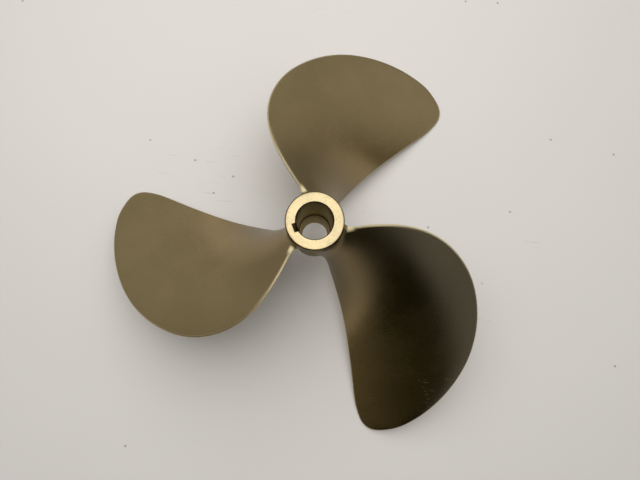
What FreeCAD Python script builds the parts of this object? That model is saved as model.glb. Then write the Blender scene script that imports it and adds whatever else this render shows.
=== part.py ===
import FreeCAD, Part
import math
import os
import Sketcher
from FreeCAD import Placement, Rotation, Vector

# Three-bladed fixed-pitch boat propeller, cast in one piece and described here as a hub and three blades.
# The Z axis is the shaft axis and points forward, to the end the shaft enters from.
# The origin lies on the axis, in the plane where the blades' reference lines cross it.
# Seen from forward, a blade's leading edge is its counter-clockwise edge.

# name, value, unit, meaning
DIMENSIONS = (
    ("tip_radius", 165.1, "mm", "half of the 13 in diameter"),
    ("pitch_ref", 393.7, "mm", "15.5 in pitch at the pitch radius"),
    ("pitch_radius", 99.0, "mm", "radius where the pitch is measured"),
    ("pitch_growth", 0.354, "", "gain of pitch per mm of radius"),
    ("rake", 3.93, "deg", "lean of the blades toward the aft end"),
    ("root_thickness", 11.5, "mm", "blade thickness carried in to the axis"),
    ("tip_thickness", 2.2, "mm", "blade thickness carried out to the tip"),
    ("root_edge", 1.6, "mm", "edge thickness carried in to the axis"),
    ("tip_edge", 1.3, "mm", "edge thickness carried out to the tip"),
    ("fillet_mid", 6.5, "mm", "root fillet radius at mid blade"),
    ("fillet_lead", 6.0, "mm", "root fillet radius at the leading edge, on the back"),
    ("fillet_lead_face", 6.5, "mm", "root fillet radius at the leading edge, on the face"),
    ("fillet_trail", 3.0, "mm", "root fillet radius at the trailing edge"),
    ("first_blade", 90.0, "deg", "direction of the first blade's reference line"),
    ("blade_step", 120.0, "deg", "angle from one blade to the next"),
    ("key_angle", 206.0, "deg", "direction of the keyway, 4 degrees short of the second blade's line"),
    ("fwd_z", 40.5, "mm", "height of the forward face"),
    ("aft_z", 23.0, "mm", "depth of the aft face"),
    ("fwd_radius", 20.1, "mm", "outer radius of the hub carried up to the forward face"),
    ("aft_radius", 17.2, "mm", "outer radius of the hub carried down to the aft face"),
    ("facing_radius", 23.0, "mm", "reach of the cut that faces the aft end off flat"),
    ("fwd_edge", 1.0, "mm", "rounding of the forward rim"),
    ("aft_edge", 1.5, "mm", "rounding of the aft rim"),
    ("bore_radius", 12.7, "mm", "large end of the shaft taper, 1 in shaft"),
    ("taper_per_length", 0.0625, "", "loss of bore diameter per mm of length, 1 in 16"),
    ("ledge_z", 1.6, "mm", "height of the ledge at the small end of the taper"),
    ("thread_radius", 10.0, "mm", "clearance bore for the shaft's threaded end"),
    ("bore_edge", 0.5, "mm", "chamfer on the bore's rims"),
    ("key_width", 6.35, "mm", "1/4 in square key"),
    ("key_floor", 15.4, "mm", "axis to keyway floor at the forward face"),
)

# Blade outline: fraction of the tip radius, then the angles of the leading and trailing edges in degrees
# from the reference line.
OUTLINE = (
    (0.10, 22.5, -26.0),
    (0.15, 28.0, -27.7),
    (0.20, 31.3, -29.7),
    (0.30, 33.7, -32.0),
    (0.40, 33.1, -33.8),
    (0.50, 30.2, -35.6),
    (0.60, 25.2, -37.2),
    (0.70, 18.3, -38.5),
    (0.80, 8.9, -39.6),
    (0.90, -3.7, -39.7),
    (0.95, -12.9, -38.8),
    (0.98, -20.3, -36.9),
)
CREST_ANGLE = -29.9

# Sections above the fillet, as fractions of the tip radius.
SECTIONS = (0.21, 0.26, 0.32, 0.40, 0.48, 0.56, 0.64, 0.72, 0.79, 0.85, 0.90, 0.935, 0.96, 0.976, 0.987,
            0.994, 0.998)
# Sections through the fillet, as fractions of its radius above the hub.
FILLET_SECTIONS = (0.012, 0.04, 0.12, 0.25, 0.45, 0.70, 1.0)
SINK = 0.4             # mm, how far the lowest fillet section lies inside the hub
CORE_DISTANCE = 5.0    # mm, distance from the axis of the flat end inside the hub
STEEPEST = 82.0        # degrees, where the fillet's arc gives way to a straight flare
BLEND_OUT = 50.0       # mm, radius beyond which sections no longer follow the hub's taper
CHORD_POINTS = 9       # points along the back and along the face of one section
NOSE_POINTS = 5        # points around one edge of a section
WIDEST_NOSE = 0.25     # largest part of a section that one rounded edge may take
BLADE_COUNT = 3
HALF = 0.5
FULL_TURN = 360.0
TINY = 1.0e-6         # part of the tip radius, the step for a slope

VALUE = {}
doc = FreeCAD.newDocument("propeller")
sheet = doc.addObject("Spreadsheet::Sheet", "dimensions")
for row, (alias, number, unit, meaning) in enumerate(DIMENSIONS, start=1):
    sheet.set("A%d" % row, alias)
    sheet.set("B%d" % row, str(number))
    sheet.set("C%d" % row, unit)
    sheet.set("D%d" % row, meaning)
    sheet.setAlias("B%d" % row, alias)
    VALUE[alias] = number
doc.recompute()


def cell(alias):
    return "dimensions." + alias


# ---------------------------------------------------------------- hub

def base_plane(body, role):
    for feature in body.Origin.OriginFeatures:
        if feature.Role == role:
            return feature
    raise RuntimeError("no plane " + role)


def new_sketch(body, name, role):
    sketch = body.newObject("Sketcher::SketchObject", name)
    sketch.AttachmentSupport = [(base_plane(body, role), "")]
    sketch.MapMode = "FlatFace"
    return sketch


def closed_profile(sketch, corners):
    """A closed run of straight lines; each corner is its two expressions, radius and height."""
    doc.recompute()
    spots = []
    for across, up in corners:
        spots.append(Vector(sheet.evalExpression(across), sheet.evalExpression(up), 0))
    count = len(corners)
    for i in range(count):
        sketch.addGeometry(Part.LineSegment(spots[i], spots[(i + 1) % count]), False)
    for i in range(count):
        sketch.addConstraint(Sketcher.Constraint("Coincident", i, 2, (i + 1) % count, 1))
    for i, (across, up) in enumerate(corners):
        x_at = sketch.addConstraint(Sketcher.Constraint("DistanceX", -1, 1, i, 1, spots[i].x))
        sketch.setExpression("Constraints[%d]" % x_at, across)
        y_at = sketch.addConstraint(Sketcher.Constraint("DistanceY", -1, 1, i, 1, spots[i].y))
        sketch.setExpression("Constraints[%d]" % y_at, up)


BORE_AT_LEDGE = "%s - (%s - %s) * %s / 2" % (
    cell("bore_radius"), cell("fwd_z"), cell("ledge_z"), cell("taper_per_length"))
FLOOR_AT_LEDGE = "%s - (%s - %s) * %s / 2" % (
    cell("key_floor"), cell("fwd_z"), cell("ledge_z"), cell("taper_per_length"))


def make_hub():
    hub = doc.addObject("PartDesign::Body", "hub")
    hub.Label = "hub"
    profile = new_sketch(hub, "hub_profile", "XZ_Plane")
    closed_profile(profile, (
        (cell("bore_radius"), cell("fwd_z")),
        (cell("fwd_radius"), cell("fwd_z")),
        (cell("aft_radius"), "-" + cell("aft_z")),
        (cell("thread_radius"), "-" + cell("aft_z")),
        (cell("thread_radius"), cell("ledge_z")),
        (BORE_AT_LEDGE, cell("ledge_z")),
    ))
    turned = hub.newObject("PartDesign::Revolution", "hub_turned")
    turned.Profile = profile
    turned.ReferenceAxis = (profile, ["V_Axis"])
    turned.Angle = FULL_TURN
    profile.Visibility = False
    doc.recompute()

    fwd_rim = hub.newObject("PartDesign::Fillet", "forward_rim")
    fwd_rim.Base = (turned, [circle_edge(turned, VALUE["fwd_radius"], VALUE["fwd_z"])])
    fwd_rim.setExpression("Radius", cell("fwd_edge"))
    doc.recompute()
    aft_rim = hub.newObject("PartDesign::Fillet", "aft_rim")
    aft_rim.Base = (fwd_rim, [circle_edge(fwd_rim, VALUE["aft_radius"], -VALUE["aft_z"])])
    aft_rim.setExpression("Radius", cell("aft_edge"))
    doc.recompute()
    bore_rims = hub.newObject("PartDesign::Chamfer", "bore_rims")
    bore_rims.Base = (aft_rim, [circle_edge(aft_rim, VALUE["bore_radius"], VALUE["fwd_z"]),
                                circle_edge(aft_rim, VALUE["thread_radius"], -VALUE["aft_z"])])
    bore_rims.setExpression("Size", cell("bore_edge"))
    doc.recompute()

    keyway = new_sketch(hub, "keyway_profile", "XZ_Plane")
    closed_profile(keyway, (
        (cell("thread_radius"), cell("ledge_z")),
        (FLOOR_AT_LEDGE, cell("ledge_z")),
        (cell("key_floor"), cell("fwd_z")),
        (cell("thread_radius"), cell("fwd_z")),
    ))
    slot = hub.newObject("PartDesign::Pocket", "keyway")
    slot.Profile = keyway
    slot.Midplane = True
    slot.setExpression("Length", cell("key_width"))
    keyway.Visibility = False
    doc.recompute()
    if slot.Shape.Volume >= bore_rims.Shape.Volume:
        raise RuntimeError("the keyway removed nothing")
    hub.Placement = turned_by(VALUE["key_angle"])
    return hub


def circle_edge(feature, radius, height):
    """Name of the circular edge of this radius at this height."""
    near = VALUE["bore_edge"] * HALF
    for number, edge in enumerate(feature.Shape.Edges, start=1):
        if isinstance(edge.Curve, Part.Circle):
            if abs(edge.Curve.Radius - radius) < near and abs(edge.Curve.Center.z - height) < near:
                return "Edge%d" % number
    raise RuntimeError("no circular edge of radius %.2f" % radius)


# ---------------------------------------------------------------- blades

TIP = VALUE["tip_radius"]


def hub_radius(height):
    """Outer radius of the hub at a height."""
    share = (height + VALUE["aft_z"]) / (VALUE["fwd_z"] + VALUE["aft_z"])
    return VALUE["aft_radius"] + (VALUE["fwd_radius"] - VALUE["aft_radius"]) * share


def smooth_through(knots, where):
    """Value at a place of a smooth curve through (place, value) knots sorted by place."""
    last = len(knots) - 1
    span = 0
    while span < last - 1 and where > knots[span + 1][0]:
        span += 1

    def slope(i):
        low = knots[max(i - 1, 0)]
        high = knots[min(i + 1, last)]
        if 0 < i < last:
            before = (knots[i][1] - low[1]) / (knots[i][0] - low[0])
            after = (high[1] - knots[i][1]) / (high[0] - knots[i][0])
            weight = (knots[i][0] - low[0]) / (high[0] - low[0])
            return before * (1 - weight) + after * weight
        return (high[1] - low[1]) / (high[0] - low[0])

    x0, y0 = knots[span]
    x1, y1 = knots[span + 1]
    width = x1 - x0
    u = (where - x0) / width
    bend_start = slope(span) * width
    bend_end = slope(span + 1) * width
    return (y0 * (2 * u ** 3 - 3 * u ** 2 + 1) + bend_start * (u ** 3 - 2 * u ** 2 + u)
            + y1 * (3 * u ** 2 - 2 * u ** 3) + bend_end * (u ** 3 - u ** 2))


def outward(fraction):
    """Square-root distance from the tip: the outline is smooth in it even across its crest."""
    return math.sqrt(max(1 - fraction, 0))


OUTLINE_KNOTS = sorted(
    [(outward(f), lead) for f, lead, trail in OUTLINE]
    + [(-outward(f), trail) for f, lead, trail in OUTLINE]
    + [(0.0, CREST_ANGLE)])


def edge_angle(radius, side):
    """Angle of the leading (side 1) or trailing (side -1) edge at a radius, in radians."""
    return math.radians(smooth_through(OUTLINE_KNOTS, side * outward(radius / TIP)))


def pitch_at(radius):
    return VALUE["pitch_ref"] + VALUE["pitch_growth"] * (radius - VALUE["pitch_radius"])


def helix_height(radius, angle):
    """Height of the blade's middle surface."""
    lean = math.tan(math.radians(VALUE["rake"])) * (radius - VALUE["pitch_radius"])
    return pitch_at(radius) * angle / (2 * math.pi) - lean


def between(root, tip, radius):
    return root + (tip - root) * radius / TIP


def flare(above, fillet):
    """How far the root fillet stands out from the blade at a height above the hub."""
    above = max(above, 0.0)
    top = math.radians(STEEPEST)
    straight_below = fillet * (1 - math.sin(top))
    if above >= fillet:
        return 0.0
    if above >= straight_below:
        return fillet - math.sqrt(fillet ** 2 - (fillet - above) ** 2)
    return fillet * (1 - math.cos(top)) + (straight_below - above) * math.tan(top)


def crossing(radius, side):
    """Sine of the angle at which the outline crosses a section."""
    step = TINY * TIP
    turn = (edge_angle(radius + step, side) - edge_angle(radius - step, side)) / (2 * step)
    stretch = math.hypot(radius, pitch_at(radius) / (2 * math.pi))
    return 1 / math.hypot(1, turn * stretch)


def section_curves(radius, follow, above):
    """Back, leading nose, face and trailing nose of one section, each as a list of points.

    follow is how much the section follows the hub's taper, above its height over the hub.
    """
    lead = edge_angle(radius, 1)
    trail = edge_angle(radius, -1)
    for side in (1, -1):
        angle = lead if side > 0 else trail
        shift = follow * (hub_radius(helix_height(radius, angle)) - hub_radius(0))
        if side > 0:
            lead = edge_angle(radius + shift, side)
        else:
            trail = edge_angle(radius + shift, side)

    advance = pitch_at(radius) / (2 * math.pi)
    stretch = math.hypot(radius, advance)
    chord = (lead - trail) * stretch
    along = Vector(radius / stretch, advance / stretch, 0)
    normal = Vector(-along.y, along.x, 0)
    middle = between(VALUE["root_thickness"], VALUE["tip_thickness"], radius)
    edge = between(VALUE["root_edge"], VALUE["tip_edge"], radius)
    lead_flare = flare(above, VALUE["fillet_lead"])
    trail_flare = flare(above, VALUE["fillet_trail"])
    lead_cross = crossing(radius, 1)
    trail_cross = crossing(radius, -1)

    def depth(x):
        """Distance in from the outline at a fraction of the chord."""
        return chord * x * (1 - x) * (trail_cross * (1 - x) + lead_cross * x)

    def nose_share(x):
        """Part of the edge thickness reached at a fraction of the chord."""
        reach = min(depth(x) / (edge * HALF), 1)
        return math.sqrt(1 - (1 - reach) ** 2)

    def place(x, offset, beyond):
        """Point of the section at a chord fraction, an offset off the chord and a length beyond its end."""
        angle = trail + (lead - trail) * x
        run = radius * angle + along.x * beyond + normal.x * offset
        rise = helix_height(radius, angle) + along.y * beyond + normal.y * offset
        real = radius + follow * (hub_radius(rise) - hub_radius(0))
        turn = run / radius
        return Vector(real * math.cos(turn), real * math.sin(turn), rise)

    def swelling(x, lead_size):
        """Root fillet at a chord fraction, fading to the ones at the edges."""
        fade = (4 * x * (1 - x)) ** 2
        end = lead_size * x + VALUE["fillet_trail"] * (1 - x)
        return flare(above, end + (VALUE["fillet_mid"] - end) * fade)

    def back_swelling(x):
        return swelling(x, VALUE["fillet_lead"])

    def face_swelling(x):
        return swelling(x, VALUE["fillet_lead_face"])

    nose_trail = min(edge * HALF / (chord * trail_cross), WIDEST_NOSE)
    nose_lead = min(edge * HALF / (chord * lead_cross), WIDEST_NOSE)
    back = []
    face = []
    for step in even_steps(CHORD_POINTS):
        x = nose_trail + (1 - nose_trail - nose_lead) * (1 - math.cos(math.pi * step)) * HALF
        rim = edge * HALF * nose_share(x)
        crown = max(middle - edge, 0) * 4 * x * (1 - x) * nose_share(x)
        back.append(place(x, rim + crown + back_swelling(x), 0))
        face.append(place(x, -rim - face_swelling(x), 0))
    lead_nose = []
    trail_nose = []
    for step in even_steps(NOSE_POINTS):
        bend = math.pi * step
        share = 1 - math.sin(bend)
        x_lead = 1 - nose_lead * share
        x_trail = nose_trail * share
        lead_rim = edge * HALF * nose_share(1 - nose_lead)
        trail_rim = edge * HALF * nose_share(nose_trail)
        round_out = math.sin(bend)
        side = math.cos(bend)
        lead_puff = back_swelling(1 - nose_lead) if side > 0 else face_swelling(1 - nose_lead)
        trail_puff = face_swelling(nose_trail) if side > 0 else back_swelling(nose_trail)
        lead_nose.append(place(x_lead, side * (lead_rim + lead_puff), lead_flare * round_out))
        trail_nose.append(place(x_trail, -side * (trail_rim + trail_puff), -trail_flare * round_out))
    lead_nose[0] = back[-1]
    lead_nose[-1] = face[-1]
    trail_nose[0] = face[0]
    trail_nose[-1] = back[0]
    face.reverse()
    return back, lead_nose, face, trail_nose


def even_steps(count):
    return [i / (count - 1) for i in range(count)]


def curve_through(points, steps):
    curve = Part.BSplineCurve()
    curve.interpolate(Points=points, Parameters=steps)
    return curve


def surface_through(rows, row_steps):
    """A smooth surface through rows of points that ends in a single point.

    Neighbours whose rows share end points share their border.
    """
    across = even_steps(len(rows[0]))
    row_curves = [curve_through(row, across) for row in rows[:-1]]
    pole_rows = [curve.getPoles() for curve in row_curves]
    pole_rows.append([rows[-1][0]] * len(pole_rows[0]))
    column_curves = [curve_through(list(column), row_steps) for column in zip(*pole_rows)]
    columns = [curve.getPoles() for curve in column_curves]
    surface = Part.BSplineSurface()
    surface.buildFromPolesMultsKnots(
        columns, row_curves[0].getMultiplicities(), column_curves[0].getMultiplicities(),
        row_curves[0].getKnots(), column_curves[0].getKnots(), False, False,
        row_curves[0].Degree, column_curves[0].Degree)
    return surface


def spread(sections):
    """Where each section lies along the blade, by the mean distance its points travel."""
    reached = [0.0]
    for low, high in zip(sections, sections[1:]):
        travel = [a.distanceToPoint(b) for a, b in zip(low[0] + low[2], high[0] + high[2])]
        reached.append(reached[-1] + sum(travel) / len(travel))
    return [length / reached[-1] for length in reached]


def make_blade():
    """One blade pointing along +X, with a flat end inside the hub that the hub's body then trims."""
    base = hub_radius(0)
    sections = [section_curves(base - SINK, 1, -SINK), section_curves(base, 1, 0)]
    for share in FILLET_SECTIONS:
        above = share * VALUE["fillet_mid"]
        sections.append(section_curves(base + above, 1, above))
    for fraction in SECTIONS:
        radius = fraction * TIP
        follow = max(0.0, (BLEND_OUT - radius) / (BLEND_OUT - base - VALUE["fillet_mid"]))
        sections.append(section_curves(radius, follow, radius))
    crest = math.radians(CREST_ANGLE)
    tip_point = Vector(TIP * math.cos(crest), TIP * math.sin(crest), helix_height(TIP, crest))
    sections.append([[tip_point] * len(part) for part in sections[0]])
    steps = spread(sections)

    faces = []
    end_edges = []
    for part in range(len(sections[0])):
        rows = [section[part] for section in sections]
        faces.append(surface_through(rows, steps).toShape())
        root_curve = curve_through(rows[0], even_steps(len(rows[0])))
        end_curve = root_curve.copy()
        for i, pole in enumerate(root_curve.getPoles(), start=1):
            end_curve.setPole(i, Vector(CORE_DISTANCE, pole.y, pole.z))
        plug = Part.BSplineSurface()
        plug.buildFromPolesMultsKnots(
            list(zip(end_curve.getPoles(), root_curve.getPoles())), root_curve.getMultiplicities(), (2, 2),
            root_curve.getKnots(), (0, 1), False, False, root_curve.Degree, 1)
        faces.append(plug.toShape())
        end_edges.append(end_curve.toShape())
    faces.append(Part.Face(Part.Wire(end_edges)))
    skin = Part.makeCompound(faces)
    skin.sewShape()
    solid = Part.makeSolid(skin.Shells[0])
    if solid.Volume < 0:
        solid.reverse()
    return solid


def turned_by(angle):
    return Placement(Vector(), Rotation(Vector(0, 0, 1), angle))


def trimmed_blade(hub):
    """The blade without what reaches inside the hub, so that the two meet exactly on the hub's skin."""
    blank = doc.addObject("Part::Feature", "blade_blank")
    blank.Shape = make_blade()
    off_skin = doc.addObject("Part::Cut", "blade_off_skin")
    off_skin.Base = blank
    off_skin.Tool = hub
    core = doc.addObject("Part::Cylinder", "hub_core")
    core.setExpression("Radius", "(%s + %s) / 2" % (cell("key_floor"), cell("aft_radius")))
    core.setExpression("Height", "%s + %s - %s" % (cell("fwd_z"), cell("aft_z"), cell("fwd_edge")))
    core.setExpression("Placement.Base.z", "-" + cell("aft_z"))
    off_core = doc.addObject("Part::Cut", "blade_off_core")
    off_core.Base = off_skin
    off_core.Tool = core
    facing = doc.addObject("Part::Cylinder", "aft_facing")
    facing.setExpression("Radius", cell("facing_radius"))
    facing.setExpression("Height", cell("aft_z"))
    facing.setExpression("Placement.Base.z", "-2 * " + cell("aft_z"))
    faced = doc.addObject("Part::Cut", "blade_faced")
    faced.Base = off_core
    faced.Tool = facing
    doc.recompute()
    return faced


def make_blades(hub):
    pattern = trimmed_blade(hub)
    if len(pattern.Shape.Solids) != 1:
        raise RuntimeError("the trimmed blade is in %d pieces" % len(pattern.Shape.Solids))
    blades = []
    for number in range(BLADE_COUNT):
        blade = doc.addObject("Part::Feature", "blade_%d" % (number + 1))
        blade.Label = blade.Name
        blade.Shape = pattern.Shape.Solids[0]
        blade.Placement = turned_by(VALUE["first_blade"] + number * VALUE["blade_step"])
        blades.append(blade)
    return blades


def export(parts):
    doc.recompute()
    for item in doc.Objects:
        if "Invalid" in item.State or "Error" in item.State:
            raise RuntimeError("%s did not build" % item.Name)
    os.makedirs("parts", exist_ok=True)
    for part in parts:
        if part.Shape.isNull() or not part.Shape.isValid():
            raise RuntimeError("%s has a bad shape" % part.Label)
        part.Shape.exportStep("parts/%s.step" % part.Label)
        print(part.Label, "%.0f mm3" % part.Shape.Volume)


hub_body = make_hub()
export([hub_body] + make_blades(hub_body))
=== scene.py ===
import math

import bpy
from mathutils import Matrix, Vector


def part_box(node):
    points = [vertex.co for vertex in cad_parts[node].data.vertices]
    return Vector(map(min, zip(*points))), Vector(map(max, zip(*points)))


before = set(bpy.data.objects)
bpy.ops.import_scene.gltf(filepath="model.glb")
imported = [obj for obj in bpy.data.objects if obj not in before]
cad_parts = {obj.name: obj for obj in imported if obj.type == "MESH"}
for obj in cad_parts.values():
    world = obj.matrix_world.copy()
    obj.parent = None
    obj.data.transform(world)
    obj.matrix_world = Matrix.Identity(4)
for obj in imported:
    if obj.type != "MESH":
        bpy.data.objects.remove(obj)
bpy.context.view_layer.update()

# ---------------------------------------------------------------- measures, in metres

MM = 0.001
BLADES = ("blade_1", "blade_2", "blade_3")
HUB_LOW, HUB_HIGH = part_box("hub")
FLOOR_Z = min(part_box(name)[0].z for name in BLADES)
TIP_RADIUS = 165.1 * MM
BORE_RADIUS = 12.7 * MM
KEY_FLOOR = 15.4 * MM
FORWARD_RADIUS = 20.1 * MM
AFT_RADIUS = 17.2 * MM
HUB_TAPER = (FORWARD_RADIUS - AFT_RADIUS) / (HUB_HIGH.z - HUB_LOW.z)
LEDGE_Z = 1.6 * MM
LEDGE_IN = 10.0 * MM
LEDGE_OUT = 11.5 * MM
RIM = 1.0 * MM

# ---------------------------------------------------------------- node helpers


class Graph:
    """Builds a material's or world's nodes with short calls."""

    def __init__(self, owner):
        owner.use_nodes = True
        self.tree = owner.node_tree
        self.tree.nodes.clear()

    def node(self, kind, **settings):
        made = self.tree.nodes.new(kind)
        for key, value in settings.items():
            setattr(made, key, value)
        return made

    def feed(self, socket, source):
        if isinstance(source, bpy.types.NodeSocket):
            self.tree.links.new(source, socket)
        else:
            socket.default_value = source

    def math(self, operation, a, b=0.0):
        made = self.node("ShaderNodeMath", operation=operation)
        self.feed(made.inputs[0], a)
        self.feed(made.inputs[1], b)
        return made.outputs[0]

    def plus(self, a, b):
        return self.math("ADD", a, b)

    def minus(self, a, b):
        return self.math("SUBTRACT", a, b)

    def larger(self, a, b):
        return self.math("MAXIMUM", a, b)

    def times(self, first, *others):
        product = first
        for factor in others:
            product = self.math("MULTIPLY", product, factor)
        return product

    def vector(self, operation, a, b=(0, 0, 0), out=0):
        made = self.node("ShaderNodeVectorMath", operation=operation)
        self.feed(made.inputs[0], a)
        self.feed(made.inputs[1], b)
        return made.outputs[out]

    def step(self, value, low, high, to_low=0.0, to_high=1.0):
        """A soft step from to_low to to_high as value goes from low to high."""
        made = self.node("ShaderNodeMapRange", interpolation_type="SMOOTHSTEP")
        for socket, source in zip(made.inputs, (value, low, high, to_low, to_high)):
            self.feed(socket, source)
        return made.outputs[0]

    def mix(self, share, a, b):
        """Colour a where share is 0 and colour b where it is 1."""
        made = self.node("ShaderNodeMix", data_type="RGBA")
        self.feed(made.inputs[0], share)
        self.feed(made.inputs[6], a)
        self.feed(made.inputs[7], b)
        return made.outputs[2]

    def noise(self, where, scale, detail, rough):
        made = self.node("ShaderNodeTexNoise")
        self.feed(made.inputs["Vector"], where)
        self.feed(made.inputs["Scale"], scale)
        self.feed(made.inputs["Detail"], detail)
        self.feed(made.inputs["Roughness"], rough)
        return made.outputs["Fac"]

    def stretched(self, where, turn_degrees, along, across):
        """Coordinates turned about Z and stretched, for marks that run one way."""
        made = self.node("ShaderNodeMapping")
        self.feed(made.inputs["Vector"], where)
        made.inputs["Rotation"].default_value = (0, 0, math.radians(turn_degrees))
        made.inputs["Scale"].default_value = (along, across, across)
        return made.outputs[0]

    def bump(self, height, distance, strength):
        made = self.node("ShaderNodeBump")
        self.feed(made.inputs["Height"], height)
        made.inputs["Distance"].default_value = distance
        self.feed(made.inputs["Strength"], strength)
        return made.outputs[0]

    def parts(self, vector):
        """The three numbers of a vector."""
        made = self.node("ShaderNodeSeparateXYZ")
        self.feed(made.inputs[0], vector)
        return made.outputs


def colour(r, g, b):
    return (r, g, b, 1.0)


# ---------------------------------------------------------------- bronze

DULL_BRONZE = colour(0.350, 0.266, 0.136)
DEEP_BRONZE = colour(0.308, 0.232, 0.117)
BRIGHT_BRONZE = colour(0.860, 0.715, 0.430)
PALE_BRONZE = colour(0.900, 0.765, 0.480)
SCRATCHED_BRONZE = colour(0.520, 0.410, 0.240)
BARREL_BRONZE = colour(0.150, 0.125, 0.070)
BORE_BRONZE = colour(0.300, 0.250, 0.140)
BORE_BRONZE_DEEP = colour(0.225, 0.180, 0.095)
# The darker tone toward the blade roots.
ROOT_DARK_BRONZE = colour(0.205, 0.157, 0.085)
RING_TAN = colour(0.700, 0.480, 0.250)
RIM_BROWN = colour(0.055, 0.038, 0.015)
KEYWAY_BROWN = colour(0.480, 0.350, 0.180)
# Painted shade inside the bore.
BORE_SHADE = colour(0.020, 0.015, 0.008)

# Tints of what the metal mirrors at a low angle.
WHITE = colour(1, 1, 1)
BARREL_TINT = colour(0.55, 0.54, 0.36)
BORE_TINT = colour(0.80, 0.72, 0.50)

SATIN = (0.23, 0.29)             # roughness of the ground bronze, from its smooth to its dull spots
GRAIN = 2600.0                   # fine grinding marks per metre
TURNING = 4200.0                 # turned rings per metre
BLADE_RELIEF = 0.012 * MM
HUB_RELIEF = 0.010 * MM
FLAT_FACING = (0.85, 0.97)       # how squarely a surface faces the axis to count as flat, a little and fully

EDGE_DEPTH = 1.6 * MM            # metal thinner than this counts as an edge
FIRST_BLADE = 90.0               # degrees
BLADE_STEP = 120.0
ROOT_END = 0.24 * TIP_RADIUS     # where the darkening toward the root begins to fade
OPEN_BLADE = 0.50 * TIP_RADIUS   # where the root's dullness and the painted highlight on its leading edge have faded out
# How far each blade is darkened at its root, and where the darkening ends as a part of the tip radius.
ROOT_DARKENING = ((0.90, 0.46), (0.45, 0.52), (0.90, 0.52))
# How far round from the reference line the leading edge lies near the hub, as a parabola in the radius.
LEADING_EDGE = (-9.05 * MM, 0.9274, -3.818)


def from_axis(g, where):
    """Distance from the shaft axis."""
    return g.vector("LENGTH", g.vector("MULTIPLY", where, (1, 1, 0)), out=1)


def edge_wear_and_highlight(g, position, radius, z, blade_angle):
    """Returns how far grinding has brightened the edges, which is partly a painted highlight, and a painted
    highlight along the leading edge near its root.

    An edge is where the metal is too thin to hide a short ray. The brightening is strongest on the leading
    edge near the hub, and fades toward the tip and on the trailing edge.
    """
    thin = g.node("ShaderNodeAmbientOcclusion", inside=True, only_local=True, samples=8)
    thin.inputs["Distance"].default_value = EDGE_DEPTH
    hub_skin = g.plus(FORWARD_RADIUS, g.times(g.minus(z, HUB_HIGH.z), HUB_TAPER))
    out_from_hub = g.minus(radius, hub_skin)
    turn = math.radians(blade_angle)
    leading = g.vector("DOT_PRODUCT", position, (-math.sin(turn), math.cos(turn), 0), out=1)
    # Pale thin edges: partly the real brightening of grinding, partly a painted highlight on the leading
    # edge's nose.
    wear_and_highlight = g.times(g.step(thin.outputs["AO"], 0.86, 0.58),
                   g.step(out_from_hub, 0.8 * MM, 1.8 * MM),
                   g.step(radius, 0.35 * TIP_RADIUS, 0.75 * TIP_RADIUS, 1.0, 0.35),
                   g.step(leading, -5 * MM, 5 * MM, 0.35, 1.0))

    # Painted highlight: a bright line along the leading edge near the hub, and a brighter bulb where it
    # meets the hub.
    constant, linear, square = LEADING_EDGE
    edge_line = g.plus(constant, g.times(radius, g.plus(linear, g.times(radius, square))))
    inset = g.minus(edge_line, leading)
    line = g.times(g.step(inset, 1.9 * MM, 0.8 * MM),
                   g.step(radius, 0.20 * TIP_RADIUS, OPEN_BLADE, 1.0, 0.0),
                   g.step(out_from_hub, 1.4 * MM, 3.0 * MM))
    bulb = g.times(g.step(inset, 3.2 * MM, 1.6 * MM),
                   g.step(out_from_hub, 10.0 * MM, 5.0 * MM),
                   g.step(out_from_hub, 2.2 * MM, 3.6 * MM))
    return wear_and_highlight, g.larger(bulb, g.times(line, 0.45))


def metal(g, tone, rough, height, relief, frosting_and_highlight, tint):
    """Finishes a metal from its colour, its roughness and the height of its fine marks.

    The share that spreads the light evenly instead of mirroring it comes from fine scuffing, and on the
    blades it also brightens a painted highlight.
    """
    shader = g.node("ShaderNodeBsdfPrincipled")
    g.feed(shader.inputs["Base Color"], tone)
    g.feed(shader.inputs["Metallic"], g.minus(1.0, frosting_and_highlight))
    g.feed(shader.inputs["Roughness"], rough)
    g.feed(shader.inputs["Specular Tint"], tint)
    g.feed(shader.inputs["Normal"], g.bump(height, relief, 0.7))
    out = g.node("ShaderNodeOutputMaterial")
    g.feed(out.inputs[0], shader.outputs[0])


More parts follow.
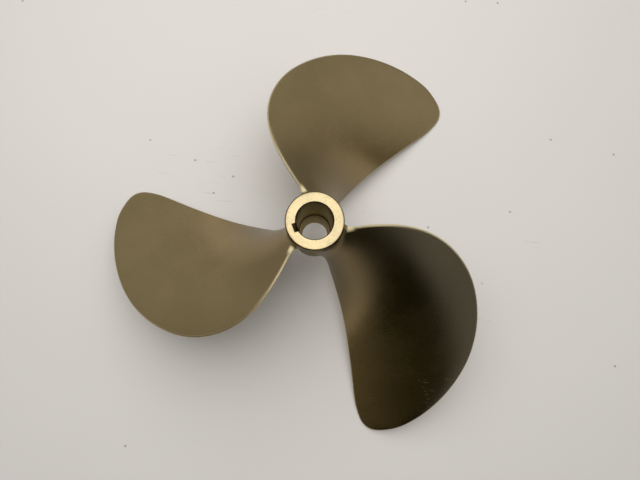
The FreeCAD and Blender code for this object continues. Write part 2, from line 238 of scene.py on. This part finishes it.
def blade_bronze(name, number):
    """Satin ground bronze: darker and duller near the hub, bright along the edges from grinding and a
    painted highlight, faintly mottled and scratched.
    """
    material = bpy.data.materials.new(name)
    g = Graph(material)
    position = g.node("ShaderNodeNewGeometry").outputs["Position"]
    radius = from_axis(g, position)
    z = g.parts(position)[2]
    where = g.vector("ADD", position, (number * 0.37, number * 0.11, number * 0.23))
    mottle = g.noise(where, 22.0, 4.0, 0.55)
    cloud = g.noise(where, 7.0, 2.0, 0.5)
    grain = g.noise(where, GRAIN, 2.0, 0.6)
    strokes = g.noise(g.stretched(where, 35.0 + 40.0 * number, 60.0, 2400.0), 1.0, 2.0, 0.5)
    scratch_field = g.noise(g.stretched(where, 62.0 - 25.0 * number, 25.0, 900.0), 1.0, 1.0, 0.4)
    scratches = g.times(g.step(scratch_field, 0.68, 0.75), g.step(cloud, 0.46, 0.58))
    # Pale edges from grinding, with a painted highlight on the leading edge near the hub.
    wear_and_highlight, root_end = edge_wear_and_highlight(g, position, radius, z, FIRST_BLADE + BLADE_STEP * number)
    wear_and_highlight = g.larger(wear_and_highlight, root_end)

    depth, reach = ROOT_DARKENING[number]
    tone = g.mix(g.step(mottle, 0.30, 0.72), DEEP_BRONZE, DULL_BRONZE)
    tone = g.mix(g.step(radius, ROOT_END, reach * TIP_RADIUS, depth, 0.0), tone, ROOT_DARK_BRONZE)
    tone = g.mix(g.times(scratches, 0.35), tone, SCRATCHED_BRONZE)
    tone = g.mix(wear_and_highlight, tone, PALE_BRONZE)

    rough = g.step(mottle, 0.25, 0.75, *SATIN)
    rough = g.plus(rough, g.step(grain, 0.3, 0.7, -0.02, 0.02))
    rough = g.plus(rough, g.step(radius, ROOT_END, OPEN_BLADE, 0.09, 0.0))
    rough = g.plus(rough, g.times(scratches, 0.30))
    rough = g.plus(rough, g.times(wear_and_highlight, 0.08))
    height = g.plus(g.times(grain, 0.6), g.times(strokes, 0.4))
    # The painted highlight at the leading edge's root is spread evenly, so the lamp lights it brightly.
    frosting_and_highlight = g.larger(g.times(wear_and_highlight, 0.25), g.times(root_end, 0.85))
    metal(g, tone, rough, height, BLADE_RELIEF, frosting_and_highlight, WHITE)
    return material


def ring_tone(g, where, radius, patina):
    """The turned end faces: bright, finely speckled, browner toward the outer rim."""
    speckle = g.noise(where, 900.0, 2.0, 0.6)
    tone = g.mix(g.step(patina, 0.35, 0.65), BRIGHT_BRONZE, PALE_BRONZE)
    tone = g.mix(g.step(speckle, 0.52, 0.70, 0.0, 0.30), tone, DULL_BRONZE)
    outer_ring = g.step(radius, FORWARD_RADIUS - 2.6 * MM, FORWARD_RADIUS - RIM)
    return g.mix(g.times(outer_ring, 0.25), tone, RING_TAN)


def bore_tone(g, mottle, radius, z, inside, ledge, keyway):
    """The bore: dull olive with a browner keyway; painted shade darkens it toward the mouth, in a line below
    its rim and at the ledge's two corners, and its ledge is painted a little lighter where it catches the
    light.
    """
    tone = g.mix(g.step(mottle, 0.35, 0.65), BORE_BRONZE_DEEP, BORE_BRONZE)
    # Painted shade: the bore darkens toward its mouth, and a dark line lies just below the rim.
    tone = g.mix(g.step(z, HUB_HIGH.z - 14.0 * MM, HUB_HIGH.z, 0.0, 0.50), tone, BORE_SHADE)
    tone = g.mix(g.step(z, HUB_HIGH.z - 1.5 * MM, HUB_HIGH.z - 0.8 * MM, 0.0, 0.95), tone, BORE_SHADE)
    # The ledge's upward face is painted a little lighter, a painted highlight where it catches the light.
    tone = g.mix(g.times(ledge, 0.5), tone, DULL_BRONZE)
    # Painted shade at the ledge's two corners, sparing its lit middle.
    near_ledge = g.times(g.step(z, LEDGE_Z + 1.6 * MM, LEDGE_Z + 0.6 * MM),
                         g.step(z, LEDGE_Z - 1.0 * MM, LEDGE_Z - 0.3 * MM))
    lit_ledge_middle = g.times(ledge,
                   g.step(radius, LEDGE_IN, LEDGE_IN + 0.4 * MM),
                   g.step(radius, LEDGE_OUT, LEDGE_OUT - 0.7 * MM))
    tone = g.mix(g.times(g.minus(inside, lit_ledge_middle), near_ledge), tone, BORE_SHADE)
    return g.mix(keyway, tone, KEYWAY_BROWN)


def hub_bronze():
    """The hub: bright turned end faces, dull olive barrel with a brown rim, and a darker bore."""
    material = bpy.data.materials.new("hub_bronze")
    g = Graph(material)
    geometry = g.node("ShaderNodeNewGeometry")
    where = geometry.outputs["Position"]
    radius = from_axis(g, where)
    z = g.parts(where)[2]
    facing = g.math("ABSOLUTE", g.parts(geometry.outputs["True Normal"])[2])
    flat = g.step(facing, *FLAT_FACING)

    ends = g.larger(g.step(z, HUB_HIGH.z - 0.3 * RIM, HUB_HIGH.z - 0.1 * RIM),
                    g.step(z, HUB_LOW.z + 0.3 * RIM, HUB_LOW.z + 0.1 * RIM))
    end_face = g.times(flat, ends)
    not_end = g.minus(1.0, end_face)
    inside = g.times(g.step(radius, KEY_FLOOR + 0.2 * MM, KEY_FLOOR - 0.1 * MM), not_end)
    ledge = g.times(flat, inside)
    keyway = g.times(g.step(radius, BORE_RADIUS + 0.5 * MM, BORE_RADIUS + 0.9 * MM), inside)
    rim = g.times(g.step(z, HUB_HIGH.z - 1.8 * RIM, HUB_HIGH.z - 0.8 * RIM), not_end)

    mottle = g.noise(where, 60.0, 4.0, 0.55)
    patina = g.noise(where, 260.0, 3.0, 0.6)
    grain = g.noise(where, GRAIN, 2.0, 0.6)
    turned_at = g.node("ShaderNodeCombineXYZ")
    g.feed(turned_at.inputs[0], g.times(radius, TURNING))
    g.feed(turned_at.inputs[1], g.times(z, TURNING))
    rings = g.noise(turned_at.outputs[0], 1.0, 2.0, 0.6)

    tone = g.mix(g.step(mottle, 0.30, 0.72), BARREL_BRONZE, DEEP_BRONZE)
    tone = g.mix(g.times(rim, 0.75), tone, RIM_BROWN)
    tone = g.mix(inside, tone, bore_tone(g, mottle, radius, z, inside, ledge, keyway))
    tone = g.mix(end_face, tone, ring_tone(g, where, radius, patina))

    rough = g.step(mottle, 0.25, 0.75, *SATIN)
    rough = g.plus(rough, g.times(inside, 0.08))
    rough = g.plus(rough, g.times(g.step(patina, 0.3, 0.7, 0.0, 0.08), end_face))
    turned = g.larger(end_face, inside)
    height = g.plus(g.times(rings, turned), g.times(grain, g.minus(1.0, g.times(turned, 0.6))))
    tint = g.mix(end_face, g.mix(inside, BARREL_TINT, BORE_TINT), WHITE)
    metal(g, tone, rough, height, HUB_RELIEF, g.times(keyway, 0.7), tint)
    return material


def put_on(obj, material):
    obj.data.materials.clear()
    obj.data.materials.append(material)


for number, name in enumerate(BLADES):
    put_on(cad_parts[name], blade_bronze(name + "_bronze", number))
put_on(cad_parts["hub"], hub_bronze())

# ---------------------------------------------------------------- floor


PAINT = colour(0.785, 0.760, 0.742)
PALE_PAINT = colour(0.810, 0.785, 0.768)
DUST = colour(0.20, 0.18, 0.15)
SCUFF = colour(0.42, 0.39, 0.34)
SPECKS = 22.0                    # places where a speck may lie, per metre


def floor_paint():
    """Pale smooth floor with a few specks of dust and faint scuffs."""
    material = bpy.data.materials.new("floor_paint")
    g = Graph(material)
    where = g.node("ShaderNodeNewGeometry").outputs["Position"]
    cloud = g.noise(where, 3.0, 3.0, 0.5)
    tone = g.mix(g.step(cloud, 0.3, 0.7), PAINT, PALE_PAINT)
    speck = g.node("ShaderNodeTexVoronoi", voronoi_dimensions="2D")
    g.feed(speck.inputs["Vector"], where)
    g.feed(speck.inputs["Scale"], SPECKS)
    near = g.step(speck.outputs["Distance"], 0.030, 0.012)
    rare = g.step(g.noise(where, 9.0, 1.0, 0.5), 0.55, 0.57)
    tone = g.mix(g.times(near, rare, 0.60), tone, DUST)
    streaks = g.noise(g.stretched(where, 55.0, 45.0, 700.0), 1.0, 2.0, 0.5)
    patches = g.noise(where, 8.0, 1.0, 0.5)
    scuffs = g.times(g.step(streaks, 0.68, 0.76), g.step(patches, 0.58, 0.66))
    tone = g.mix(g.times(scuffs, 0.30), tone, SCUFF)
    shader = g.node("ShaderNodeBsdfPrincipled")
    g.feed(shader.inputs["Base Color"], tone)
    g.feed(shader.inputs["Roughness"], 0.65)
    g.feed(shader.inputs["Specular IOR Level"], 0.25)
    out = g.node("ShaderNodeOutputMaterial")
    g.feed(out.inputs[0], shader.outputs[0])
    return material


FLOOR_REACH = 4.0
floor_mesh = bpy.data.meshes.new("floor")
corners = [(x * FLOOR_REACH, y * FLOOR_REACH, FLOOR_Z) for x, y in ((-1, -1), (1, -1), (1, 1), (-1, 1))]
floor_mesh.from_pydata(corners, [], [(0, 1, 2, 3)])
floor = bpy.data.objects.new("floor", floor_mesh)
bpy.context.scene.collection.objects.link(floor)
floor_mesh.materials.append(floor_paint())

# ---------------------------------------------------------------- light

# A plain studio, as a few soft panels laid over an even room. Each has a compass angle and a height in
# degrees, the half-widths in degrees where it is full and where it ends, and its light. A blade's back
# leans clockwise from the shaft, so it mirrors the room an eighth to a quarter of a turn clockwise of it.
ROOM = colour(0.17, 0.15, 0.10)
BACKDROP = colour(0.560, 0.545, 0.520)      # what the camera sees behind the floor, in place of the panels
PANELS = (
    ((35.0, 55.0), (25.0, 65.0), colour(0.58, 0.58, 0.57)),    # bright side, mirrored by the first blade
    ((120.0, 30.0), (30.0, 75.0), colour(0.52, 0.52, 0.50)),   # pale side, mirrored by the second blade
    ((-75.0, 0.0), (35.0, 72.0), colour(0.01, 0.01, 0.0)),     # dark side, mirrored by the third blade
    ((-60.0, 35.0), (5.0, 20.0), colour(0.22, 0.25, 0.32)),    # small cool light beside the dark side
    ((90.0, 80.0), (10.0, 20.0), colour(1.4, 1.35, 1.25)),     # lamp overhead, mirrored by the hub's face
)


def direction(compass, height):
    """The unit vector toward a compass angle and a height, both in degrees."""
    flat = math.cos(math.radians(height))
    return (flat * math.cos(math.radians(compass)), flat * math.sin(math.radians(compass)),
            math.sin(math.radians(height)))


def studio():
    """The world: the room and its panels as the metal mirrors them, and a plain backdrop to the camera."""
    world = bpy.data.worlds.new("studio")
    bpy.context.scene.world = world
    g = Graph(world)
    towards = g.vector("NORMALIZE", g.node("ShaderNodeTexCoord").outputs["Generated"])
    light = ROOM
    for place, (inner, outer), shade in PANELS:
        closeness = g.vector("DOT_PRODUCT", towards, direction(*place), out=1)
        share = g.step(closeness, math.cos(math.radians(outer)), math.cos(math.radians(inner)))
        light = g.mix(share, light, shade)
    light = g.mix(g.node("ShaderNodeLightPath").outputs["Is Camera Ray"], light, BACKDROP)
    background = g.node("ShaderNodeBackground")
    g.feed(background.inputs[0], light)
    out = g.node("ShaderNodeOutputWorld")
    g.feed(out.inputs[0], background.outputs[0])


studio()


LAMP_COLOUR = (1.0, 0.985, 0.955)
LAMP_PLACE = (-0.05, 0.24, 0.54)
LAMP_SIZE = 0.85
LAMP_WATTS = 2.65


def soft_lamp(name, place, size, watts):
    """A round soft lamp aimed at the hub. It lights the scene but isn't mirrored in the metal."""
    data = bpy.data.lights.new(name, "AREA")
    data.shape = "DISK"
    data.size = size
    data.energy = watts
    data.color = LAMP_COLOUR
    lamp = bpy.data.objects.new(name, data)
    bpy.context.scene.collection.objects.link(lamp)
    lamp.location = place
    lamp.rotation_euler = (-Vector(place)).to_track_quat("-Z", "Y").to_euler()
    lamp.visible_glossy = False


soft_lamp("key_lamp", LAMP_PLACE, LAMP_SIZE, LAMP_WATTS)
bpy.context.scene.view_settings.view_transform = "Standard"

# ---------------------------------------------------------------- camera

# The camera looks down on the forward face from just above the propeller. Its place is off the origin
# in tip radii, across, up the picture and toward the lens, in a picture turned a little from the frame.
PICTURE_TURN = math.radians(6.26)
CAMERA_OFF = Vector((0.0006, -0.341, 2.072)) * TIP_RADIUS
CAMERA_PITCH = math.radians(8.16)
CAMERA_YAW = math.radians(-0.65)
LENS = 25.91
SENSOR = 36.0

camera_data = bpy.data.cameras.new("camera")
camera_data.lens = LENS
camera_data.sensor_width = SENSOR
camera_data.clip_start = MM
camera = bpy.data.objects.new("camera", camera_data)
bpy.context.scene.collection.objects.link(camera)
look = Matrix.Rotation(CAMERA_YAW, 4, "Y") @ Matrix.Rotation(CAMERA_PITCH, 4, "X")
camera.matrix_world = Matrix.Rotation(PICTURE_TURN, 4, "Z") @ Matrix.Translation(CAMERA_OFF) @ look
bpy.context.scene.camera = camera
